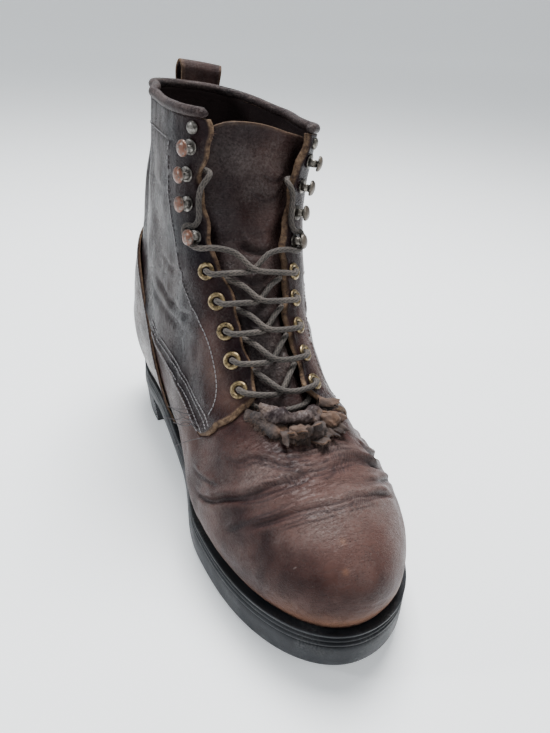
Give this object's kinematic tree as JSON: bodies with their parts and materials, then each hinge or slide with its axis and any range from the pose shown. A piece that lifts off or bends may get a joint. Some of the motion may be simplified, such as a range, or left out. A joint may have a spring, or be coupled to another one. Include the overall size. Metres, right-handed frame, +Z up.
{
  "type": "work boot",
  "caption": "Worn ankle-high lace-up work boot for the left foot in oiled dark brown leather, with eyelets, lace hooks, pull loop and a ridged black rubber sole with a heel.",
  "frame": {"origin": "on the floor, under the middle of the boot's box", "axes": "+Z up, toe towards -Y, outer side of the foot towards +X"},
  "size_m": [0.1156, 0.3164, 0.2504],
  "materials": {
    "upper_leather": "oiled oxblood leather, creased, scuffed pale at the toe, near black on the shaft",
    "tongue_leather": "smooth dark leather, dented and shiny",
    "trim_leather": "worn grey brown leather roll and strap",
    "sole_rubber": "matt black rubber, scuffed and dusty",
    "insole_board": "dark worn insole cover",
    "eyelet_brass": "dull antique brass, tarnished",
    "hook_brass": "brass with worn copper-coloured and black patches",
    "lace_cord": "round braided dark grey brown cord"
  },
  "bodies": {
    "root": {"outsole": "sole_rubber", "heel": "sole_rubber", "welt": "sole_rubber", "insole": "insole_board", "upper": "upper_leather", "heel_counter": "upper_leather", "collar_roll": "trim_leather", "tongue": "tongue_leather", "pull_loop": "trim_leather", "eyelet_outer_1": "eyelet_brass", "eyelet_outer_2": "eyelet_brass", "eyelet_outer_3": "eyelet_brass", "eyelet_outer_4": "eyelet_brass", "eyelet_outer_5": "eyelet_brass", "hook_outer_1": "hook_brass", "hook_outer_2": "hook_brass", "hook_outer_3": "hook_brass", "hook_outer_4": "hook_brass", "rivet_outer_1": "eyelet_brass", "eyelet_inner_1": "eyelet_brass", "eyelet_inner_2": "eyelet_brass", "eyelet_inner_3": "eyelet_brass", "eyelet_inner_4": "eyelet_brass", "eyelet_inner_5": "eyelet_brass", "hook_inner_1": "hook_brass", "hook_inner_2": "hook_brass", "hook_inner_3": "hook_brass", "hook_inner_4": "hook_brass", "rivet_inner_1": "eyelet_brass", "lace_bar": "lace_cord", "lace_crossing_1": "lace_cord", "lace_crossing_2": "lace_cord", "lace_crossing_3": "lace_cord", "lace_crossing_4": "lace_cord", "lace_crossing_5": "lace_cord", "lace_end_outer": "lace_cord", "lace_end_inner": "lace_cord"}
  },
  "joints": []
}
